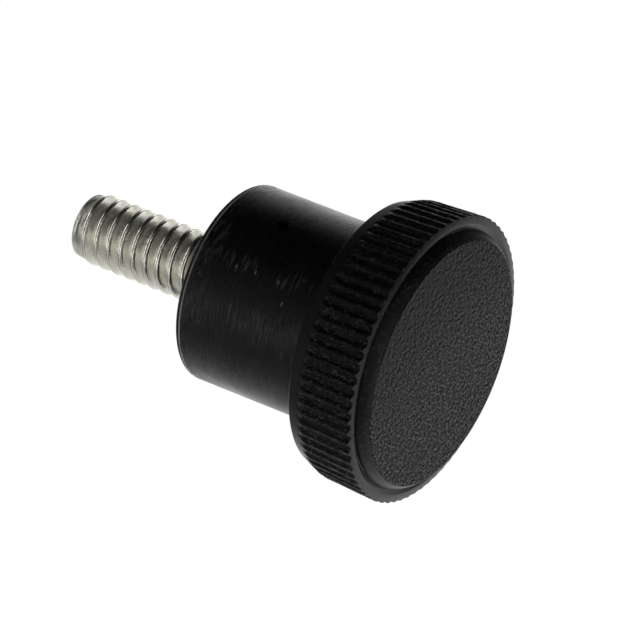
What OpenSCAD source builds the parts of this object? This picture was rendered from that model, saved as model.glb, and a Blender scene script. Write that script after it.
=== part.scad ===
// Knurled thumb knob: a one-piece moulded head and hub on a steel stud.
// It stands on its face disc. Z runs up through the hub to the stud's tip,
// and the origin is the centre of the face disc, on the surface it stands on.

/* [Head] */
// Diameter over the knurl's ridges, at the front rim
head_d = 25.4; // [24:0.2:36]
// Thickness of the head, from the front rim to its back face
head_t = 6.55; // [5.5:0.05:9]
// Draft of the knurled band in degrees: it narrows towards the hub
head_draft = 2.8; // [0:0.1:4]
// Width of the broken corner between the front rim and the ridges
rim_edge_w = 0.1; // [0.05:0.01:0.2]
// Height of the broken corner between the front rim and the ridges
rim_edge_h = 0.06; // [0.04:0.01:0.2]
// Height of the smooth cone that bevels the head's back edge
bevel_h = 1.88; // [1.4:0.02:2.4]
// How far the bevel comes in, on the radius
bevel_in = 0.75; // [0.4:0.01:0.9]
// Radius that blends the ridges into the bevel
bevel_blend = 2; // [0.5:0.1:2.5]
// Radius that breaks the bevel's edge with the back face
back_round = 0.35; // [0.1:0.05:0.4]

/* [Knurl] */
// Number of straight ridges round the head
ridge_count = 73; // [48:1:76]
// Width of one groove, across its mouth
groove_w = 0.84; // [0.6:0.02:0.9]
// Width of one groove, across its flat floor
groove_floor = 0.44; // [0.2:0.02:0.5]
// Depth of one groove below the ridges
groove_depth = 0.22; // [0.12:0.02:0.26]

/* [Face disc] */
// Width of the front rim, from the disc's foot out to the ridges
rim_w = 1.25; // [1:0.05:2]
// Width of the narrow channel in the rim, beside the disc's foot
moat_w = 0.45; // [0.3:0.05:0.5]
// Depth of that channel below the rim's outer corner
moat_h = 0.12; // [0.05:0.01:0.2]
// Slope in degrees of the crowned rim at its inner side
crown_in = 3; // [1:0.5:5]
// Slope in degrees of the crowned rim at its outer corner
crown_out = 17; // [10:0.5:20]
// Height of the raised disc's face above the rim's outer corner
disc_h = 1; // [0.8:0.05:1.4]
// Lean in degrees of the disc's curved side, at its foot
side_foot = 16; // [8:1:24]
// Lean in degrees of the disc's curved side, where it meets the face's round
side_top = 48; // [42:1:60]
// Radius that rounds the edge of the disc's face
face_round = 0.2; // [0.1:0.05:0.3]

/* [Hub] */
// Diameter of the hub
hub_d = 17.44; // [15:0.04:20]
// Length of the hub behind the head
hub_l = 13.55; // [10:0.05:20]
// Radius on the hub's free end
hub_round = 0.4; // [0.1:0.05:0.8]
// Fillet where the hub meets the head
hub_fillet = 0.3; // [0.1:0.05:0.6]
// Width of the small oval blind hole in the hub's side
pit_d = 0.86; // [0.4:0.02:1.2]
// Length of the small oval blind hole
pit_l = 1.3; // [1.25:0.05:1.8]
// Depth of the small oval blind hole
pit_depth = 0.7; // [0.3:0.05:1]
// Diameter of the shallow recess round the stud, in the hub's free end
relief_d = 6.8; // [6.6:0.1:8]
// Depth of that recess
relief_h = 0.3; // [0.1:0.05:0.6]

/* [Stud] */
// Diameter over the stud's thread, for a 1/4-20 UNC rolled thread
stud_d = 6.22; // [6.12:0.02:6.32]
// Length of stud that stands out of the hub
stud_l = 15; // [10:0.5:40]
// Length of the plain end beyond the thread, turned smaller than the thread
tip_h = 1.1; // [0.6:0.1:1.5]
// Radius of that plain end
tip_r = 2.83; // [2.4:0.01:2.95]
// Radius that rounds the plain end's edge
tip_round = 0.3; // [0.1:0.05:0.5]
// Diameter of the plain shank moulded into the hub, the size the thread is rolled from
shank_d = 5.52; // [5:0.02:5.6]
// Length of plain shank moulded into the hub
anchor_l = 10.4; // [8:0.2:11]
// Width across flats of the hidden head that anchors the stud
anchor_af = 11.1; // [9.5:0.1:12]
// Thickness of the hidden head
anchor_t = 4; // [3:0.1:5]

/* [Hidden] */

rim_z = disc_h;                       // plane of the front rim
back_z = rim_z + head_t;              // back face of the head
end_z = back_z + hub_l;               // free end of the hub
tip_z = end_z + stud_l;               // end of the stud
head_r = head_d / 2;
hub_r = hub_d / 2;
disc_r = head_r - rim_w;              // foot of the face disc
slope = tan(head_draft);
function crest_r(z) = head_r - slope * (z - rim_z);
bevel_z = back_z - bevel_h;           // where the ridges' line meets the bevel's
bevel_r = crest_r(bevel_z);
back_r = bevel_r - bevel_in;
bevel_a = atan2(bevel_in, bevel_h);
blend_l = bevel_blend * tan((bevel_a - head_draft) / 2);   // from that corner to where the blend begins
corner_r = crest_r(rim_z + rim_edge_h) - rim_edge_w;   // outer edge of the rim's crowned face
moat_r = disc_r + moat_w;             // outer edge of the channel
crown_bend = (corner_r - moat_r) / (sin(crown_out) - sin(crown_in));   // radius of the crown
crown_z = rim_z - crown_bend * (cos(crown_in) - cos(crown_out));       // height of the crown's inner side
lip = 0.05;                           // radius of the lip between the channel and the crown
side_bend = (rim_z - face_round * (1 - sin(side_top))) / (sin(side_top) - sin(side_foot));   // radius of the disc's side
flat_r = disc_r - side_bend * (cos(side_foot) - cos(side_top)) - face_round * cos(side_top);   // edge of the flat face
pit_z = back_z + 7.7;                 // height of the blind hole
pit_turn = -48.2;                     // its place round the hub
pit_tilt = 37;                        // lean of its long way, up from the hub's circumference
e = 0.01;

// Points along an arc from angle a0 to a1 about [cx, cy].
function arc(cx, cy, r, a0, a1, n = 6) =
    [for (i = [0:n]) let (a = a0 + (a1 - a0) * i / n) [cx + r * cos(a), cy + r * sin(a)]];

// The moulding's section, out from the axis, from the face disc to the hub's end.
module body_section() {
    polygon(concat(
        [[0, 0]],
        arc(flat_r, face_round, face_round, -90, -side_top, 4),
        arc(disc_r - side_bend * cos(side_foot), rim_z + side_bend * sin(side_foot), side_bend,
            -side_top, -side_foot, 7),
        [[disc_r + 0.03, rim_z + moat_h - 0.03], [disc_r + 0.06, rim_z + moat_h],
         [moat_r - 0.09, rim_z + moat_h], [moat_r - 0.07, rim_z + moat_h - 0.02]],
        [for (a = [0, 25, 50, 72]) [moat_r - 0.01 - lip * cos(a), crown_z + lip * (1 - sin(a))]],
        arc(corner_r - crown_bend * sin(crown_out), rim_z + crown_bend * cos(crown_out), crown_bend,
            crown_in - 90, crown_out - 90, 5),
        [for (a = [45, 90]) [corner_r + rim_edge_w * sin(a), rim_z + rim_edge_h * (1 - cos(a))]],
        arc(bevel_r + blend_l * sin(head_draft) - bevel_blend * cos(head_draft),
            bevel_z - blend_l * cos(head_draft) - bevel_blend * sin(head_draft),
            bevel_blend, head_draft, bevel_a, 5),
        arc(back_r - back_round * (1 - sin(bevel_a)) / cos(bevel_a), back_z - back_round,
            back_round, bevel_a, 90, 4),
        arc(hub_r + hub_fillet, back_z + hub_fillet, hub_fillet, -90, -180, 5),
        arc(hub_r - hub_round, end_z - hub_round, hub_round, 0, 90, 6),
        [[0, end_z]]
    ));
}

// Half of one groove's section, out from its floor. X is the radius, with 0 on the ridges.
function groove_side(y) =
    let (k = (groove_w - groove_floor) / 2 / groove_depth, c = 0.05)
    [[0.15, y * (groove_w / 2 + 0.15 * k)],
     [c - groove_depth, y * (groove_floor / 2 + c * k)],
     [-groove_depth, y * (groove_floor / 2 - c)]];

// One straight groove, laid along the band's draft. It opens on the front rim and runs out on the bevel.
module groove() {
    a = groove_side(1);
    b = groove_side(-1);
    translate([head_r, 0, rim_z])
        rotate([0, -head_draft, 0])
            translate([0, 0, -0.7])
                linear_extrude(height = head_t + 1.5)
                    polygon([b[0], a[0], a[1], a[2], b[2], b[1]]);
}

// The small oval blind hole, sunk square into the hub's side.
module pit() {
    half = (pit_l - pit_d) / 2;
    rotate([0, 0, pit_turn])
        translate([hub_r - pit_depth, 0, pit_z])
            rotate([pit_tilt, 0, 0])
                rotate([90, 0, 90])
                    linear_extrude(height = pit_depth + 1)
                        polygon([for (k = [0:1], i = [0:12]) let (a = k * 180 - 90 + i * 15, s = 1 - 2 * k)
                            [s * half + pit_d / 2 * cos(a), pit_d / 2 * sin(a)]]);
}

// The stud's own shape: hidden six-sided head, plain shank, threaded length and plain rounded end.
module stud_shape() {
    head_z = end_z - anchor_l;
    translate([0, 0, head_z - anchor_t])
        cylinder(r = anchor_af / 2 / cos(30), h = anchor_t, $fn = 6);
    translate([0, 0, head_z - e])
        cylinder(r = shank_d / 2, h = anchor_l + 2 * e, $fn = 64);
    translate([0, 0, end_z])
        cylinder(r = stud_d / 2, h = stud_l - tip_h, $fn = 64);
    rotate_extrude($fn = 64)
        polygon(concat(
            [[0, tip_z - tip_h - e], [tip_r, tip_z - tip_h - e]],
            arc(tip_r - tip_round, tip_z - tip_round, tip_round, 0, 90, 5),
            [[0, tip_z]]
        ));
}

module knob_body() {
    color([0.07, 0.07, 0.075])
    difference() {
        rotate_extrude($fn = 120) body_section();
        for (i = [0:ridge_count - 1])
            rotate([0, 0, i * 360 / ridge_count]) groove();
        pit();
        translate([0, 0, end_z - relief_h])
            cylinder(r = relief_d / 2, h = relief_h + 1, $fn = 64);
        stud_shape();
    }
}

module threaded_stud() {
    color([0.78, 0.78, 0.76])
    stud_shape();
}

knob_body();
threaded_stud();
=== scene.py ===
import math

import bmesh
import bpy
import numpy as np
from mathutils import Matrix, Vector

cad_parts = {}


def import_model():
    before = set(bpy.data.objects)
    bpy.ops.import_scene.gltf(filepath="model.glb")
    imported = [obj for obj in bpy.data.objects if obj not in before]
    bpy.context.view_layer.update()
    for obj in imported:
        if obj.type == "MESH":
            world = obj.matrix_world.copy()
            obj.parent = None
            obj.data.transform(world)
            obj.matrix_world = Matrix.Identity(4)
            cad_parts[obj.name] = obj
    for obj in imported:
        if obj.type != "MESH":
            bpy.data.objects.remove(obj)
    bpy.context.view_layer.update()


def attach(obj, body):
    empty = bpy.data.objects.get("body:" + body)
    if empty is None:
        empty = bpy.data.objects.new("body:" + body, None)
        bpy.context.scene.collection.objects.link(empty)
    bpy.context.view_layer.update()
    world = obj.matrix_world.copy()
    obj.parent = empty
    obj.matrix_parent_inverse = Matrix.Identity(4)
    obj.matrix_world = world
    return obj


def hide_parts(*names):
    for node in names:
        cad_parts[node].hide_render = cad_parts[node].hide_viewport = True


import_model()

MM = 0.001
TAU = 2 * math.pi

# ---------------------------------------------------------------- sizes, in mm
HEAD_R = 12.7
RIM_Z = 1.0
HEAD_T = 6.55
BACK_Z = RIM_Z + HEAD_T
HUB_R = 8.72
HUB_L = 13.55
END_Z = BACK_Z + HUB_L
HUB_ROUND = 0.4
HUB_FILLET = 0.3
DRAFT = math.radians(2.8)
SLOPE = math.tan(DRAFT)
EDGE_W, EDGE_H = 0.10, 0.06
CROWN_IN, CROWN_OUT = math.radians(3), math.radians(17)
BEVEL_H, BEVEL_IN, BEVEL_BLEND = 1.88, 0.75, 2.0
BACK_ROUND = 0.35
RIDGES = 73
GROOVE_W, GROOVE_FLOOR, GROOVE_D = 0.84, 0.44, 0.22
DISC_R = HEAD_R - 1.25
WALL_LEAN, WALL_TOP = math.radians(16), math.radians(48)
DISC_ROUND = 0.2
WALL_R = (RIM_Z - DISC_ROUND * (1 - math.sin(WALL_TOP))) / (math.sin(WALL_TOP) - math.sin(WALL_LEAN))
FLAT_R = DISC_R - WALL_R * (math.cos(WALL_LEAN) - math.cos(WALL_TOP)) - DISC_ROUND * math.cos(WALL_TOP)
MOAT_W, MOAT_D = 0.45, 0.12
STUD_R = 3.11
STUD_L = 15.0
TIP_Z = END_Z + STUD_L
TIP_H, TIP_R, TIP_ROUND = 1.1, 2.83, 0.3
PITCH = 1.27
SHANK_R = 2.76
ANCHOR_Z = END_Z - 10.4
ANCHOR_T = 4.0
ANCHOR_AF = 11.1
PIT_Z = BACK_Z + 7.7
PIT_A = math.radians(-48.2)
PIT_R, PIT_D = 0.43, 0.7
PIT_LONG, PIT_TILT = 0.22, math.radians(37)
RELIEF_R, RELIEF_D = 3.4, 0.3


def smin(a, b, k):
    """The smaller of a and b, with the corner between them rounded over a width k."""
    h = np.clip(0.5 + 0.5 * (b - a) / k, 0, 1)
    return b * (1 - h) + a * h - k * h * (1 - h)


def smax(a, b, k):
    return -smin(-a, -b, k)


class Mesh:
    """Collects closed rings of points and the faces between them."""

    def __init__(self):
        self.co, self.count, self.faces, self.tags = [], 0, [], []
        self.tag = 0

    def ring(self, r, angles, z):
        """A ring round the axis, of radius r and height z at the given angles."""
        r, a, z = np.broadcast_arrays(np.asarray(r, float), angles, z)
        self.co.append(np.stack([r * np.cos(a), r * np.sin(a), z], axis=1))
        start, self.count = self.count, self.count + len(a)
        return np.arange(start, self.count), np.asarray(angles, float)

    def add(self, face):
        self.faces.append(tuple(int(i) for i in face))
        self.tags.append(self.tag)

    def join(self, a, b):
        """Faces between two rings, which may have different numbers of points."""
        (ia, ta), (ib, tb) = a, b
        n, m = len(ia), len(ib)
        if n == m and np.allclose(ta, tb):
            for i in range(n):
                j = (i + 1) % n
                self.add((ia[i], ia[j], ib[j], ib[i]))
            return
        sa, sb = np.argsort(np.mod(ta, TAU)), np.argsort(np.mod(tb, TAU))
        ia, ta, ib, tb = ia[sa], np.mod(ta, TAU)[sa], ib[sb], np.mod(tb, TAU)[sb]
        i = j = 0
        while i < n or j < m:
            na = ta[(i + 1) % n] + (TAU if i + 1 >= n else 0)
            nb = tb[(j + 1) % m] + (TAU if j + 1 >= m else 0)
            if j >= m or (i < n and na <= nb):
                self.add((ia[i % n], ia[(i + 1) % n], ib[j % m]))
                i += 1
            else:
                self.add((ia[i % n], ib[(j + 1) % m], ib[j % m]))
                j += 1

    def close(self, ring, z):
        """Closes a ring with a fan round a point on the axis."""
        self.co.append(np.array([[0.0, 0.0, z]]))
        ids, n = ring[0], len(ring[0])
        for i in range(n):
            self.add((ids[i], ids[(i + 1) % n], self.count))
        self.count += 1

    def build(self, name, materials, sharp):
        me = bpy.data.meshes.new(name)
        me.from_pydata((np.concatenate(self.co) * MM).tolist(), [], self.faces)
        for m in materials:
            me.materials.append(m)
        me.polygons.foreach_set("material_index", np.array(self.tags, np.int32))
        me.polygons.foreach_set("use_smooth", np.ones(len(self.faces), bool))
        bm = bmesh.new()
        bm.from_mesh(me)
        bmesh.ops.recalc_face_normals(bm, faces=bm.faces)
        bm.to_mesh(me)
        bm.free()
        me.validate()
        me.set_sharp_from_angle(angle=math.radians(sharp))
        ob = bpy.data.objects.new(name, me)
        bpy.context.scene.collection.objects.link(ob)
        return ob


# ------------------------------------------------------------------ materials
def node(nt, kind, inputs=None, **settings):
    """A shader node with its settings, and with its inputs set to values or linked to sockets."""
    n = nt.nodes.new("ShaderNode" + kind)
    for key, value in settings.items():
        setattr(n, key, value)
    for key, value in (inputs or {}).items():
        if isinstance(value, bpy.types.NodeSocket):
            nt.links.new(value, n.inputs[key])
        else:
            n.inputs[key].default_value = value
    return n


def calc(nt, op, a, b=0.0, c=0.0, clamp=False):
    return node(nt, "Math", {0: a, 1: b, 2: c}, operation=op, use_clamp=clamp).outputs[0]


def remap(nt, value, lo, hi, to_lo, to_hi, kind="SMOOTHSTEP"):
    return node(nt, "MapRange", {"Value": value, "From Min": lo, "From Max": hi, "To Min": to_lo, "To Max": to_hi},
                interpolation_type=kind).outputs[0]


def noise(nt, vector, scale, detail=2.0, roughness=0.5):
    return node(nt, "TexNoise", {"Vector": vector, "Scale": scale, "Detail": detail, "Roughness": roughness}).outputs[0]


def stretched(nt, vector, scale):
    return node(nt, "Mapping", {"Vector": vector, "Scale": scale}).outputs[0]


def blend(nt, factor, a, b):
    return node(nt, "Mix", {"Factor": factor, "A": a, "B": b}, data_type="RGBA").outputs[2]


def near(nt, vector, angle, z, r, along, across):
    """1 at a place on the hub's side and 0 past a distance of along mm round the hub or across mm up it."""
    t = math.radians(angle)
    place = (r * math.cos(t) * MM, r * math.sin(t) * MM, z * MM)
    off = node(nt, "VectorMath", {0: vector, 1: place}, operation="SUBTRACT").outputs[0]
    off = node(nt, "VectorMath", {0: off, 1: (1 / (along * MM), 1 / (along * MM), 1 / (across * MM))},
               operation="MULTIPLY").outputs[0]
    d = node(nt, "VectorMath", {0: off}, operation="LENGTH").outputs["Value"]
    return remap(nt, d, 0.3, 1.0, 1.0, 0.0)


def knurl_plastic():
    """The same plastic on the ridges, duller and uneven."""
    m = bpy.data.materials.new("black_knurl_plastic")
    m.use_nodes = True
    nt = m.node_tree
    bsdf = nt.nodes["Principled BSDF"]
    bsdf.inputs["Specular IOR Level"].default_value = 0.36
    pos = node(nt, "TexCoord").outputs["Object"]
    lumps = noise(nt, pos, 1700.0, 3.0, 0.65)
    bump = node(nt, "Bump", {"Height": lumps, "Strength": 1.0, "Distance": 0.00026})
    nt.links.new(bump.outputs[0], bsdf.inputs["Normal"])
    pale = remap(nt, noise(nt, pos, 2400.0, 3.0, 0.65), 0.57, 0.70, 0.0, 1.0)
    colour = blend(nt, pale, (0.0028, 0.0028, 0.0030, 1), (0.075, 0.075, 0.072, 1))
    # bright specks: painted glints on the ridges, thicker on one side
    speck = remap(nt, noise(nt, stretched(nt, pos, (6000.0, 6000.0, 2600.0)), 1.0, 1.0, 0.5), 0.60, 0.70, 0.0, 1.0)
    glint_side = node(nt, "VectorMath", {0: pos, 1: (-0.55, -0.83, 0.0)}, operation="DOT_PRODUCT").outputs["Value"]
    speck = calc(nt, "MULTIPLY", speck, remap(nt, glint_side, 0.0075, 0.0118, 0.1, 1.0))
    nt.links.new(blend(nt, speck, colour, (0.12, 0.12, 0.117, 1)), bsdf.inputs["Base Color"])
    nt.links.new(remap(nt, lumps, 0.3, 0.7, 0.28, 0.40, "LINEAR"), bsdf.inputs["Roughness"])
    return m


def satin_plastic():
    m = bpy.data.materials.new("black_satin_plastic")
    m.use_nodes = True
    nt = m.node_tree
    bsdf = nt.nodes["Principled BSDF"]
    pos = node(nt, "TexCoord").outputs["Object"]
    xyz = node(nt, "SeparateXYZ", {0: pos})
    z = xyz.outputs["Z"]
    on_hub = remap(nt, z, (BACK_Z + 0.1) * MM, (BACK_Z + 0.5) * MM, 0.0, 1.0)

    # fine lines round the hub, left by the turned mould, that come and go along their length
    slow = noise(nt, pos, 260.0, 3.0)
    wobble = calc(nt, "MULTIPLY", noise(nt, stretched(nt, pos, (260.0, 260.0, 500.0)), 1.0, 2.0), 9.0)
    wave = calc(nt, "SINE", calc(nt, "ADD", calc(nt, "MULTIPLY", z, TAU / (0.36 * MM)), wobble))
    patch = remap(nt, noise(nt, stretched(nt, pos, (520.0, 520.0, 800.0)), 1.0, 2.0), 0.38, 0.64, 0.35, 1.0)
    streak = calc(nt, "SUBTRACT", noise(nt, stretched(nt, pos, (620.0, 620.0, 4200.0)), 1.0, 2.0, 0.6), 0.5)
    lines = calc(nt, "ADD", calc(nt, "MULTIPLY", wave, 0.16), streak)
    lines = calc(nt, "MULTIPLY", calc(nt, "MULTIPLY", lines, patch), on_hub)
    fine = calc(nt, "MULTIPLY", calc(nt, "SUBTRACT", noise(nt, pos, 5200.0, 2.0), 0.5), 0.12)
    height = calc(nt, "ADD", lines, fine)
    bump = node(nt, "Bump", {"Height": height, "Strength": 1.0, "Distance": 0.000044})
    nt.links.new(bump.outputs[0], bsdf.inputs["Normal"])

    # pale strokes in two bands along the hub, scuffs near the stud's end and a few specks of dust
    def band(angle, width):
        """1 along a line up the hub at this angle, and 0 at width mm from it on either side."""
        t = math.radians(angle)
        off = node(nt, "VectorMath", {0: pos, 1: (-math.sin(t), math.cos(t), 0.0)}, operation="DOT_PRODUCT").outputs["Value"]
        facing = node(nt, "VectorMath", {0: pos, 1: (math.cos(t), math.sin(t), 0.0)}, operation="DOT_PRODUCT").outputs["Value"]
        near_line = remap(nt, calc(nt, "ABSOLUTE", off), width * 0.3 * MM, width * MM, 1.0, 0.0)
        return calc(nt, "MULTIPLY", near_line, calc(nt, "GREATER_THAN", facing, 0.0))

    cut = noise(nt, stretched(nt, pos, (560.0, 560.0, 5200.0)), 1.0, 2.0, 0.6)
    stroke = remap(nt, cut, 0.52, 0.64, 0.0, 1.0)
    patches = remap(nt, noise(nt, stretched(nt, pos, (420.0, 420.0, 420.0)), 1.0, 2.0), 0.38, 0.58, 0.1, 1.0)
    stroke = calc(nt, "MULTIPLY", calc(nt, "MULTIPLY", stroke, patches), on_hub)
    bands = calc(nt, "MAXIMUM", band(-110.0, 2.3), calc(nt, "MULTIPLY", band(-79.0, 1.2), 0.7))
    strokes = calc(nt, "MULTIPLY", stroke, calc(nt, "MAXIMUM", bands, 0.10))
    rub = remap(nt, noise(nt, stretched(nt, pos, (1300.0, 1300.0, 3800.0)), 1.0, 3.0, 0.65), 0.46, 0.66, 0.0, 1.0)
    places = [(-66.0, END_Z - 1.3, 1.7, 1.2), (-80.0, END_Z - 1.6, 1.7, 1.3), (-97.0, END_Z - 1.5, 1.9, 1.4)]
    worn = None
    for angle, height_mm, along, across in places:
        spot = near(nt, pos, angle, height_mm, HUB_R, along, across)
        worn = spot if worn is None else calc(nt, "MAXIMUM", worn, spot)
    end = calc(nt, "MULTIPLY", remap(nt, z, (END_Z - 2.4) * MM, (END_Z - 0.3) * MM, 0.0, 0.9),
               remap(nt, z, (END_Z - 0.30) * MM, (END_Z - 0.05) * MM, 1.0, 0.25))
    worn = calc(nt, "MULTIPLY", calc(nt, "MAXIMUM", worn, end), rub)
    worn = calc(nt, "MAXIMUM", worn, calc(nt, "MULTIPLY", strokes, 1.5))
    # a pale line round the hub 0.5 mm short of its end: a painted glint
    glint_line = remap(nt, calc(nt, "ABSOLUTE", calc(nt, "SUBTRACT", z, (END_Z - 0.50) * MM)), 0.03 * MM, 0.11 * MM, 1.0, 0.0)
    dust = None
    for angle, height_mm, size in ((-81.5, END_Z - 4.3, 0.08), (-81.1, END_Z - 6.2, 0.10), (-81.6, END_Z - 8.5, 0.08),
                                   (-92.0, END_Z - 9.6, 0.10)):
        spot = near(nt, pos, angle, height_mm, HUB_R, size * 2.6, size)
        dust = spot if dust is None else calc(nt, "MAXIMUM", dust, spot)
    colour = blend(nt, slow, (0.0030, 0.0030, 0.0032, 1), (0.0060, 0.0060, 0.0062, 1))
    colour = blend(nt, calc(nt, "MULTIPLY", worn, 0.55), colour, (0.16, 0.16, 0.155, 1))
    rim = remap(nt, z, (RIM_Z + 0.05) * MM, (RIM_Z + 0.12) * MM, 1.0, 0.0)
    fleck = calc(nt, "MULTIPLY", remap(nt, noise(nt, pos, 3300.0, 2.0, 0.6), 0.46, 0.68, 0.0, 1.0), rim)
    blotch = remap(nt, noise(nt, pos, 1300.0, 2.0, 0.5), 0.40, 0.60, 0.012, 0.050)
    colour = blend(nt, fleck, colour, blotch)
    flat = node(nt, "VectorMath", {0: pos, 1: (1.0, 1.0, 0.0)}, operation="MULTIPLY").outputs[0]
    radius = node(nt, "VectorMath", {0: flat}, operation="LENGTH").outputs["Value"]
    # a pale band round the rim's face at 11.82 to 11.98 mm, on one side only: a painted highlight
    rim_band_highlight = calc(nt, "MULTIPLY", remap(nt, radius, 0.01182, 0.01187, 0.0, 1.0), remap(nt, radius, 0.01192, 0.01198, 1.0, 0.0))
    rim_band_highlight = calc(nt, "MULTIPLY", calc(nt, "MULTIPLY", rim_band_highlight, rim), remap(nt, noise(nt, pos, 1900.0, 2.0, 0.5), 0.38, 0.55, 0.1, 0.9))
    lit = node(nt, "VectorMath", {0: pos, 1: (0.17, -0.98, 0.0)}, operation="DOT_PRODUCT").outputs["Value"]
    rim_band_highlight = calc(nt, "MULTIPLY", rim_band_highlight, remap(nt, lit, 0.0, 0.006, 0.0, 1.0))
    colour = blend(nt, rim_band_highlight, colour, (0.10, 0.10, 0.098, 1))
    # the painted glint line near the hub's end
    colour = blend(nt, calc(nt, "MULTIPLY", glint_line, remap(nt, slow, 0.38, 0.52, 0.45, 1.0)), colour, (0.65, 0.65, 0.63, 1))
    colour = blend(nt, dust, colour, (0.42, 0.41, 0.39, 1))
    nt.links.new(colour, bsdf.inputs["Base Color"])
    rough = remap(nt, slow, 0.3, 0.7, 0.24, 0.34, "LINEAR")
    front = remap(nt, z, (RIM_Z - 0.16) * MM, (RIM_Z - 0.08) * MM, 1.0, 0.0)
    rough = calc(nt, "ADD", rough, calc(nt, "MULTIPLY", front, 0.06))
    nt.links.new(calc(nt, "ADD", rough, calc(nt, "MULTIPLY", calc(nt, "MAXIMUM", worn, dust), 0.3)), bsdf.inputs["Roughness"])
    return m


def sand_plastic():
    """Spark-eroded sand texture on the flat of the disc, fading out over its shoulder."""
    m = bpy.data.materials.new("black_sand_textured_plastic")
    m.use_nodes = True
    nt = m.node_tree
    bsdf = nt.nodes["Principled BSDF"]
    pos = node(nt, "TexCoord").outputs["Object"]
    flat = node(nt, "VectorMath", {0: pos, 1: (1.0, 1.0, 0.0)}, operation="MULTIPLY").outputs[0]
    radius = node(nt, "VectorMath", {0: flat}, operation="LENGTH").outputs["Value"]
    edge = calc(nt, "ADD", radius, calc(nt, "MULTIPLY", noise(nt, pos, 900.0, 2.0), 0.0006))
    # the texture runs out over the shoulder at two places
    xyz_x = node(nt, "SeparateXYZ", {0: pos}).outputs["X"]
    over = node(nt, "VectorMath", {0: pos, 1: (-0.92, -0.39, 0.0)}, operation="DOT_PRODUCT").outputs["Value"]
    edge = calc(nt, "SUBTRACT", edge, remap(nt, over, 0.001, 0.010, 0.0, 0.0007))
    edge = calc(nt, "SUBTRACT", edge, remap(nt, xyz_x, 0.0088, 0.0108, 0.0, 0.0007))
    face = remap(nt, edge, 0.0108, 0.0111, 1.0, 0.1)
    grain = calc(nt, "SUBTRACT", noise(nt, stretched(nt, pos, (2900.0, 2100.0, 2900.0)), 1.0, 2.0, 0.5), 0.5)
    bump = node(nt, "Bump", {"Height": calc(nt, "MULTIPLY", grain, face), "Strength": 1.0, "Distance": 0.00022})
    nt.links.new(bump.outputs[0], bsdf.inputs["Normal"])
    fleck = remap(nt, noise(nt, stretched(nt, pos, (5000.0, 3100.0, 5000.0)), 1.0, 1.0, 0.6), 0.47, 0.66, 0.0, 1.0)
    # flecks thin out towards +X and -Y: painted shade, the face darker on that side
    side = node(nt, "VectorMath", {0: pos, 1: (-0.64, 0.77, 0.0)}, operation="DOT_PRODUCT").outputs["Value"]
    fleck = calc(nt, "MULTIPLY", fleck, remap(nt, side, -0.0105, 0.004, 0.05, 1.0))
    nt.links.new(blend(nt, calc(nt, "MULTIPLY", fleck, face), (0.003, 0.003, 0.0032, 1), (0.21, 0.21, 0.205, 1)),
                 bsdf.inputs["Base Color"])
    nt.links.new(remap(nt, face, 0.0, 1.0, 0.28, 0.42, "LINEAR"), bsdf.inputs["Roughness"])
    bsdf.inputs["Specular IOR Level"].default_value = 0.11
    return m


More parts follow.
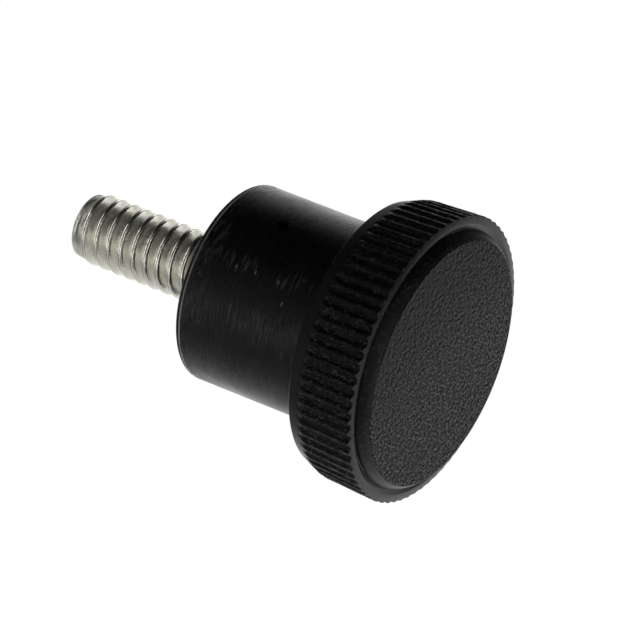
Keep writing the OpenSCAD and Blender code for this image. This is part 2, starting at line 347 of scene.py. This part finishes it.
def stud_steel():
    m = bpy.data.materials.new("bright_stud_steel")
    m.use_nodes = True
    nt = m.node_tree
    bsdf = nt.nodes["Principled BSDF"]
    pos = node(nt, "TexCoord").outputs["Object"]
    flat = node(nt, "VectorMath", {0: pos, 1: (1.0, 1.0, 0.0)}, operation="MULTIPLY").outputs[0]
    radius = node(nt, "VectorMath", {0: flat}, operation="LENGTH").outputs["Value"]
    z = node(nt, "SeparateXYZ", {0: pos}).outputs["Z"]
    slow = noise(nt, pos, 700.0, 3.0)
    drawn = noise(nt, stretched(nt, pos, (900.0, 900.0, 7000.0)), 1.0, 3.0, 0.6)
    pits = noise(nt, pos, 3200.0, 2.0, 0.6)
    # the rolled crests and the plain end are polished, the flanks between them are duller
    crest = remap(nt, radius, 0.00292, 0.00300, 0.0, 1.0)
    tip = remap(nt, z, (TIP_Z - 1.15) * MM, (TIP_Z - 1.0) * MM, 0.0, 1.0)
    polished = calc(nt, "MAXIMUM", crest, tip)
    shade = calc(nt, "ADD", slow, calc(nt, "MULTIPLY", calc(nt, "SUBTRACT", drawn, 0.5), 1.2))
    colour = blend(nt, remap(nt, shade, 0.25, 0.75, 0.0, 1.0, "LINEAR"), (0.88, 0.865, 0.75, 1), (1.0, 0.985, 0.90, 1))
    # dark streaks down one side of the flanks, partly scratches and partly painted shade, and dark scratches on the
    # plain end, heavier on that side
    side = node(nt, "VectorMath", {0: node(nt, "VectorMath", {0: flat}, operation="NORMALIZE").outputs[0],
                                   1: (0.391, -0.921, 0.0)}, operation="DOT_PRODUCT").outputs["Value"]
    scratches_and_shade = calc(nt, "MULTIPLY", remap(nt, side, 0.80, 0.97, 0.0, 1.0), remap(nt, calc(nt, "ADD", calc(nt, "MULTIPLY", drawn, 0.6), calc(nt, "MULTIPLY", pits, 0.4)),
                                                               0.42, 0.56, 0.05, 0.44))
    scratches_and_shade = calc(nt, "MULTIPLY", scratches_and_shade, calc(nt, "SUBTRACT", 1.0, polished))
    colour = blend(nt, scratches_and_shade, colour, (0.22, 0.20, 0.15, 1))
    scored = calc(nt, "MULTIPLY", remap(nt, drawn, 0.40, 0.56, 0.85, 0.0), tip)
    scored = calc(nt, "MULTIPLY", scored, remap(nt, side, 0.2, 0.8, 0.25, 1.0))
    colour = blend(nt, scored, colour, (0.16, 0.155, 0.14, 1))
    nt.links.new(colour, bsdf.inputs["Base Color"])
    metallic = remap(nt, crest, 0.0, 1.0, 0.72, 0.98, "LINEAR")
    nt.links.new(blend(nt, tip, metallic, (0.42, 0.42, 0.42, 1)), bsdf.inputs["Metallic"])
    dull = remap(nt, slow, 0.3, 0.7, 0.18, 0.30, "LINEAR")
    nt.links.new(calc(nt, "MULTIPLY", dull, remap(nt, polished, 0.0, 1.0, 1.0, 0.6, "LINEAR")), bsdf.inputs["Roughness"])
    height = calc(nt, "ADD", calc(nt, "MULTIPLY", drawn, calc(nt, "ADD", 0.8, calc(nt, "MULTIPLY", tip, 5.0))),
                  calc(nt, "MULTIPLY", pits, 0.7))
    bump = node(nt, "Bump", {"Height": height, "Strength": 1.0, "Distance": 0.00002})
    nt.links.new(bump.outputs[0], bsdf.inputs["Normal"])
    return m


# ------------------------------------------------------------ the knob's body
def crest(z):
    return HEAD_R - SLOPE * (z - RIM_Z)


CORNER_R = crest(RIM_Z + EDGE_H) - EDGE_W
CROWN_BEND = (CORNER_R - DISC_R - MOAT_W) / (math.sin(CROWN_OUT) - math.sin(CROWN_IN))


def crown(r):
    """Height of the rim's gently crowned face at radius r, level with the corner at its outer edge."""
    slope = math.asin(math.sin(CROWN_OUT) - (CORNER_R - r) / CROWN_BEND)
    return RIM_Z - CROWN_BEND * (math.cos(slope) - math.cos(CROWN_OUT))


def head_profile():
    """The head's outer profile without its grooves, as (radius, height) points from the front rim to the back face."""
    pts = []
    for a in np.radians([30, 50, 70, 90]):
        pts.append((CORNER_R + EDGE_W * math.sin(a), RIM_Z + EDGE_H * (1 - math.cos(a))))
    bevel_z = BACK_Z - BEVEL_H
    bevel_r = crest(bevel_z)
    bevel_a = math.atan2(BEVEL_IN, BEVEL_H)
    run = BEVEL_BLEND * math.tan((bevel_a - DRAFT) / 2)
    cr = bevel_r + run * math.sin(DRAFT) - BEVEL_BLEND * math.cos(DRAFT)
    cz = bevel_z - run * math.cos(DRAFT) - BEVEL_BLEND * math.sin(DRAFT)
    z0, z1 = cz + BEVEL_BLEND * math.sin(DRAFT), cz + BEVEL_BLEND * math.sin(bevel_a)
    back_r = bevel_r - BEVEL_IN
    for z in np.linspace(RIM_Z + 0.28, z0 - 0.05, 12):
        pts.append((crest(z), z))
    for z in np.linspace(z0 + 0.05, BACK_Z - 0.85, 15):
        if z < z1:
            pts.append((cr + math.sqrt(BEVEL_BLEND ** 2 - (z - cz) ** 2), z))
        else:
            pts.append((back_r + (BACK_Z - z) * BEVEL_IN / BEVEL_H, z))
    for z in (BACK_Z - 0.6, BACK_Z - 0.35, BACK_Z - 0.16):
        pts.append((back_r + (BACK_Z - z) * BEVEL_IN / BEVEL_H, z))
    c = back_r - BACK_ROUND * (1 - math.sin(bevel_a)) / math.cos(bevel_a)
    for a in np.linspace(bevel_a, math.pi / 2, 6):
        pts.append((c + BACK_ROUND * math.cos(a), BACK_Z - BACK_ROUND + BACK_ROUND * math.sin(a)))
    return pts


def knob():
    g = Mesh()
    rng = np.random.default_rng(11)
    # places across one ridge's pitch, closer together at the corners of the groove
    half = math.pi * HEAD_R / RIDGES
    xs = np.array([-0.49, -0.44, -0.39, -0.34, -0.28, -0.22, -0.13, 0.0, 0.13, 0.22, 0.28, 0.34, 0.39, 0.44, 0.49, half])
    angles, depth = [], []
    k = (GROOVE_W - GROOVE_FLOOR) / 2 / GROOVE_D
    for i in range(RIDGES):
        shift, deep = rng.normal(0, 0.018), GROOVE_D * (1 + rng.normal(0, 0.06))
        flank = (GROOVE_W / 2 - np.abs(xs)) / k
        d = smin(flank, np.full_like(xs, deep), 0.12)
        depth.append(smax(d, np.zeros_like(xs), 0.12))
        angles.append(i * TAU / RIDGES + (xs + shift * (1 - np.abs(xs) / half)) / HEAD_R)
    angles, depth = np.concatenate(angles), np.concatenate(depth)
    depth = np.maximum(depth, 0)

    # face disc, its shoulder and wall, the crease and the flat rim, from the axis outwards
    n = 360
    tf = np.arange(n) * TAU / n
    g.tag = 1
    inner = [(3.0, 0.0), (8.0, 0.0), (10.2, 0.0), (FLAT_R - 0.05, 0.0)]
    for a in np.linspace(math.pi / 2, WALL_TOP, 6):
        inner.append((FLAT_R + DISC_ROUND * math.cos(a), DISC_ROUND * (1 - math.sin(a))))
    for a in np.linspace(WALL_TOP, WALL_LEAN, 10)[1:]:
        inner.append((DISC_R - WALL_R * (math.cos(WALL_LEAN) - math.cos(a)), RIM_Z - WALL_R * (math.sin(a) - math.sin(WALL_LEAN))))
    prev = None
    for i, (r, z) in enumerate(inner):
        g.tag = 1 if i < 10 else 0
        ring = g.ring(r, tf, z)
        if prev is None:
            g.close(ring, 0.0)
        else:
            g.join(prev, ring)
        prev = ring
    g.tag = 0
    edge = DISC_R + MOAT_W
    top = crown(edge)
    rim = [(DISC_R + 0.03, RIM_Z + MOAT_D - 0.03), (DISC_R + 0.06, RIM_Z + MOAT_D), (edge - 0.09, RIM_Z + MOAT_D),
           (edge - 0.07, RIM_Z + MOAT_D - 0.02)]
    rim += [(edge - 0.01 - 0.05 * math.cos(a), top + 0.05 * (1 - math.sin(a))) for a in np.radians([0, 25, 50, 72])]
    rim += [(r, crown(r)) for r in (edge + 0.02, 11.98, 12.06, 12.15, 12.25)]
    # the gap beside the disc's foot is open over part of the way round and closes up to a soft bend elsewhere
    gape = np.mod(math.degrees(-1) * tf, 360)
    gape = np.clip(np.minimum(gape - 15, 165 - gape) / 25, 0, 1)
    gape = gape * gape * (3 - 2 * gape)
    for r, z in rim:
        bend = RIM_Z + (top - RIM_Z) * (r - DISC_R) / MOAT_W
        ring = g.ring(r, tf, bend + (z - bend) * gape if r < edge else z)
        g.join(prev, ring)
        prev = ring
    # the grooves run further into the rim's face over part of the way round
    bite = np.mod(np.degrees(-angles), 360)
    bite = np.clip(np.minimum(bite - 70, 155 - bite) / 20, 0, 1)
    for r in (12.36, CORNER_R):
        rr = smin(np.full_like(angles, r), crest(RIM_Z) - depth * (0.55 + 1.25 * bite) - (CORNER_R - r) * 0.6, 0.05)
        ring = g.ring(np.minimum(rr, r), angles, [crown(v) for v in np.minimum(rr, r)])
        g.join(prev, ring)
        prev = ring

    # knurled band and bevel, with a slight unevenness along the ridges
    waves = [(rng.integers(40, 420), rng.uniform(0.8, 5.5), rng.uniform(0, TAU)) for _ in range(60)]
    for r, z in head_profile():
        rr = np.full_like(angles, r)
        g.tag = 2 if RIM_Z + 0.05 < z < BACK_Z - 1.6 else 0
        if z < BACK_Z - 0.7:
            rough = sum(np.sin(k * angles + m * z + f) for k, m, f in waves) / math.sqrt(30)
            fade = min(1.0, (z - RIM_Z) / 0.5, (BACK_Z - 0.9 - z) / 0.6)
            notch = depth * np.minimum(1.0, 0.55 + 0.45 * np.maximum((z - RIM_Z) / 0.3, bite))
            notch = notch + depth * 0.75 * bite * min(max(1 - (z - RIM_Z) / 0.7, 0.0), 1.0)
            rr = smin(rr, crest(z) - notch - 0.024 * max(fade, 0) * np.abs(rough), 0.05)
            rr = np.where(rr > r - 0.002, np.minimum(rr, r), rr)
        ring = g.ring(rr, angles, z)
        g.join(prev, ring)
        prev = ring

    g.tag = 0
    # hub: its columns and rows are closer together round the pit
    base = np.arange(220) * TAU / 220
    off = np.mod(base - PIT_A + math.pi, TAU) - math.pi
    fine = PIT_A + np.linspace(-0.62, 0.62, 41) / HUB_R
    tq = np.sort(np.mod(np.concatenate([base[np.abs(off) > 0.70 / HUB_R], fine]), TAU))
    off = (np.mod(tq - PIT_A + math.pi, TAU) - math.pi) * HUB_R
    prof = []
    for a in np.radians(np.linspace(-90, -180, 7)):
        prof.append((HUB_R + HUB_FILLET + HUB_FILLET * math.cos(a), BACK_Z + HUB_FILLET + HUB_FILLET * math.sin(a)))
    prof += [(HUB_R, z) for z in np.linspace(BACK_Z + 0.5, PIT_Z - 0.75, 6)]
    prof += [(HUB_R, z) for z in PIT_Z + np.linspace(-0.6, 0.6, 41)]
    prof += [(HUB_R, z) for z in np.linspace(PIT_Z + 0.75, END_Z - HUB_ROUND - 0.1, 6)]
    for a in np.radians(np.linspace(0, 90, 10)):
        prof.append((HUB_R - HUB_ROUND + HUB_ROUND * math.cos(a), END_Z - HUB_ROUND + HUB_ROUND * math.sin(a)))
    prof += [(HUB_R - HUB_ROUND - 0.15, END_Z), (5.0, END_Z), (RELIEF_R + 0.05, END_Z), (RELIEF_R, END_Z - 0.05),
             (RELIEF_R, END_Z - RELIEF_D), (SHANK_R, END_Z - RELIEF_D)]
    for r, z in prof:
        rr = np.full_like(tq, r)
        if abs(z - PIT_Z) < 0.61:
            along = off * math.cos(PIT_TILT) + (z - PIT_Z) * math.sin(PIT_TILT)
            across = (z - PIT_Z) * math.cos(PIT_TILT) - off * math.sin(PIT_TILT)
            d = np.hypot(np.maximum(np.abs(along) - PIT_LONG, 0), across)
            wall = (PIT_R - d) * 8.0
            rr = rr - smax(smin(wall, np.full_like(wall, PIT_D), 0.1), np.zeros_like(wall), 0.06)
            rr = np.minimum(rr, r)
        ring = g.ring(rr, tq, z)
        g.join(prev, ring)
        prev = ring
    # the cavity that holds the stud's shank and its six-sided head
    hexa = ANCHOR_AF / 2 / np.cos(np.mod(tq, math.pi / 3) - math.pi / 6)
    for r, z in ((SHANK_R, ANCHOR_Z), (hexa, ANCHOR_Z), (hexa, ANCHOR_Z - ANCHOR_T)):
        ring = g.ring(r, tq, z)
        g.join(prev, ring)
        prev = ring
    g.close(prev, ANCHOR_Z - ANCHOR_T)
    return g


# ------------------------------------------------------------------- the stud
def stud():
    g = Mesh()
    n = 144
    t = np.arange(n) * TAU / n
    gap = 0.01                       # keeps the hidden surfaces just off the cavity's
    root = STUD_R - 0.70

    hexa = (ANCHOR_AF / 2 - gap) / np.cos(np.mod(t, math.pi / 3) - math.pi / 6)
    prev = g.ring(hexa, t, ANCHOR_Z - ANCHOR_T + gap)
    g.close(prev, ANCHOR_Z - ANCHOR_T + gap)
    for r, z in ((hexa, ANCHOR_Z - gap), (SHANK_R - gap, ANCHOR_Z - gap), (SHANK_R - gap, END_Z - 0.04)):
        ring = g.ring(r, t, z)
        g.join(prev, ring)
        prev = ring

    def thread(z):
        """Radius of a rolled right-hand thread at height z, round the whole turn."""
        u = np.mod((z - END_Z + 0.07) / PITCH - t / TAU, 1.0)               # 0 at a crest's middle
        d = np.minimum(u, 1 - u) * PITCH                             # distance from the crest's middle
        lobe = STUD_R - 0.02 * (d / 0.16) ** 2                       # a slightly rounded crest
        flank = STUD_R - 0.02 - (d - 0.16) * math.tan(math.radians(60))
        # the corner towards the hub is rolled over more than the corner towards the tip
        return smax(smin(lobe, flank, np.where(u > 0.5, 0.13, 0.05)), np.full_like(d, root), 0.05)

    rows = int(STUD_L / PITCH * 32)
    for i in range(rows + 1):
        z = END_Z + STUD_L * i / rows
        r = thread(z)
        if z < END_Z + 0.25:
            r = np.minimum(r, SHANK_R - gap + (z - END_Z) * 2.5)
        if z > TIP_Z - TIP_H - 0.15:
            end = TIP_R - 0.04 + 0.08 * (TIP_Z - z) / TIP_H + max(0.0, TIP_Z - TIP_H - z) * 2.5
            if z > TIP_Z - TIP_ROUND:
                end -= TIP_ROUND - math.sqrt(max(0.0, TIP_ROUND ** 2 - (z - TIP_Z + TIP_ROUND) ** 2))
            r = smin(smax(r, np.full_like(r, TIP_R - 0.16), 0.1), np.full_like(r, end), 0.04)
        ring = g.ring(np.minimum(r, STUD_R), t, z)
        g.join(prev, ring)
        prev = ring
    ring = g.ring(TIP_R - TIP_ROUND - 0.5, t, TIP_Z)
    g.join(prev, ring)
    g.close(ring, TIP_Z)
    return g


satin, sand, ridged, metal = satin_plastic(), sand_plastic(), knurl_plastic(), stud_steel()

body = knob().build("knob_body_visual", [satin, sand, ridged], 38)
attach(body, "root")
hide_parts("knob_body")

bolt = stud().build("threaded_stud_visual", [metal], 50)
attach(bolt, "root")
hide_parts("threaded_stud")


# ---------------------------------------------------------------------- stage
def floor():
    """A pale floor that shows from above and lets a camera below it look through."""
    me = bpy.data.meshes.new("floor")
    n, rad = 64, 3.0
    me.from_pydata([(rad * math.cos(TAU * i / n), rad * math.sin(TAU * i / n), -0.00008) for i in range(n)],
                   [], [tuple(range(n))])
    ob = bpy.data.objects.new("floor", me)
    bpy.context.scene.collection.objects.link(ob)
    m = bpy.data.materials.new("pale_floor")
    m.use_nodes = True
    nt = m.node_tree
    nt.nodes.clear()
    back = node(nt, "NewGeometry").outputs["Backfacing"]
    pale = node(nt, "BsdfDiffuse", {"Color": (0.86, 0.86, 0.86, 1)}).outputs[0]
    clear = node(nt, "BsdfTransparent").outputs[0]
    mix = node(nt, "MixShader", {0: back, 1: pale, 2: clear}).outputs[0]
    node(nt, "OutputMaterial", {"Surface": mix})
    me.materials.append(m)
    ob.visible_shadow = False
    ob.visible_diffuse = False
    ob.visible_glossy = False
    ob.visible_transmission = False


def world():
    """A soft white studio: walls whose brightness changes with the direction, a dimmer ceiling and table."""
    w = bpy.data.worlds.new("studio")
    bpy.context.scene.world = w
    w.use_nodes = True
    nt = w.node_tree
    nt.nodes.clear()
    way = node(nt, "SeparateXYZ", {0: node(nt, "TexCoord").outputs["Generated"]})
    turn = calc(nt, "DIVIDE", calc(nt, "ARCTAN2", way.outputs["X"], way.outputs["Y"]), TAU)
    # bearing from +Y towards +X in degrees, and the brightness there of the ceiling, the wall's upper part,
    # its lower part and the table
    ceiling = [(-180, 0.08), (-145, 0.13), (-114, 0.17), (-89, 0.13), (-68, 0.13), (-49, 0.24), (-31, 0.42), (-14, 0.90),
               (0, 0.42), (14, 0.20), (31, 0.20), (49, 0.12), (68, 0.04), (89, 0.02), (114, 0.03), (145, 0.06), (180, 0.08)]
    upper = [(-180, 0.12), (-160, 0.32), (-144, 0.72), (-120, 0.24), (-100, 0.30), (-75, 0.54), (-48, 0.76),
             (-32, 1.04), (-15, 1.06), (8, 1.45), (24, 1.25), (42, 1.08), (60, 0.66), (78, 0.12), (92, 0.0), (150, 0.0),
             (165, 0.08), (180, 0.12)]
    lower = [(-180, 0.17), (-140, 0.13), (-105, 0.15), (-75, 0.35), (-50, 0.60), (-20, 0.92), (3, 0.86), (18, 0.52),
             (32, 0.12), (50, 0.05), (75, 0.01), (110, 0.0), (145, 0.06), (180, 0.17)]
    table = [(-180, 0.22), (-137, 0.22), (-99, 0.25), (-76, 0.50), (-50, 0.52), (-16, 0.55), (-5, 0.55), (0, 0.34),
             (5, 0.06), (9, 0.02), (20, 0.03), (53, 0.13), (76, 0.09), (99, 0.03), (137, 0.12), (180, 0.22)]

    def band(stops):
        ramp = node(nt, "ValToRGB", {"Fac": calc(nt, "ADD", turn, 0.5)})
        made = ramp.color_ramp.elements
        while len(made) > 1:
            made.remove(made[-1])
        for i, (bearing, bright) in enumerate(stops):
            place = bearing / 360 + 0.5
            stop = made[0] if i == 0 else made.new(place)
            stop.position = place
            stop.color = (bright, bright, bright, 1)
        return ramp.outputs["Color"]

    height = way.outputs["Z"]
    nadir = remap(nt, way.outputs["X"], -0.35, 0.3, 0.75, 0.12)
    tone = blend(nt, remap(nt, height, 0.08, 0.42, 0.0, 1.0), band(lower), band(upper))
    tone = blend(nt, remap(nt, height, 0.465, 0.58, 0.0, 1.0), tone, band(ceiling))
    tone = blend(nt, remap(nt, height, -0.46, -0.66, 0.0, 1.0), tone, band(table))
    tone = blend(nt, remap(nt, height, 0.93, 0.99, 0.0, 1.0), tone, (0.09, 0.09, 0.09, 1))
    tone = blend(nt, remap(nt, height, -0.82, -0.96, 0.0, 1.0), tone, nadir)
    light = node(nt, "Background", {"Color": tone, "Strength": 1.0}).outputs[0]
    seen = node(nt, "Background", {"Color": (1, 1, 1, 1), "Strength": 1.0}).outputs[0]
    camera_ray = node(nt, "LightPath").outputs["Is Camera Ray"]
    node(nt, "OutputWorld", {"Surface": node(nt, "MixShader", {0: camera_ray, 1: light, 2: seen}).outputs[0]})


def camera():
    cam = bpy.data.cameras.new("camera")
    cam.sensor_fit = "HORIZONTAL"
    cam.sensor_width = 36.0
    cam.lens = 6112.0 * 36.0 / 640.0
    cam.clip_start = 0.01
    cam.clip_end = 50.0
    ob = bpy.data.objects.new("camera", cam)
    bpy.context.scene.collection.objects.link(ob)
    fwd = Vector((0.0, 0.890524, 0.454936)).normalized()
    up = Vector((0.930382, -0.166776, 0.326459))
    up = (up - fwd * up.dot(fwd)).normalized()
    rot = Matrix((fwd.cross(up), up, -fwd)).transposed().to_4x4()
    ob.matrix_world = Matrix.Translation(Vector((-0.34548, -456.5712, -222.1372 + RIM_Z)) * MM) @ rot
    bpy.context.scene.camera = ob


def fill(name, bearing, height, width, tall, bright):
    """A soft panel lamp turned towards the stud, at a bearing from +Y towards +X and a height in degrees, that lights
    only the stud. Its brightness is the panel's own, beside the world's, where a white wall is 1."""
    b, h = math.radians(bearing), math.radians(height)
    way = Vector((math.sin(b) * math.cos(h), math.cos(b) * math.cos(h), math.sin(h)))
    far = 0.5
    lamp = bpy.data.lights.new(name, "AREA")
    lamp.shape = "ELLIPSE"
    lamp.size = 2 * far * math.tan(math.radians(width / 2))
    lamp.size_y = 2 * far * math.tan(math.radians(tall / 2))
    lamp.energy = bright * math.pi * math.pi * lamp.size * lamp.size_y / 4
    ob = bpy.data.objects.new(name, lamp)
    bpy.context.scene.collection.objects.link(ob)
    ob.matrix_world = Matrix.Translation(Vector((0, 0, (END_Z + 7.5) * MM)) + way * far) @ way.to_track_quat("Z", "Y").to_matrix().to_4x4()
    ob.visible_camera = False
    ob.light_linking.receiver_collection = lit
    return ob


floor()
world()
lit = bpy.data.collections.new("lit_by_fills")
lit.objects.link(bolt)
fill("fill_upper", 42, 2, 54, 58, 0.50)
fill("fill_low", 40, -37, 26, 26, 1.0)
fill("fill_top", 184, 67, 70, 22, 2.2)
fill("fill_front", 192, 2, 100, 14, 1.5)
fill("fill_lower", -105, 16, 90, 50, 0.12)
camera()
bpy.context.scene.view_settings.view_transform = "Standard"
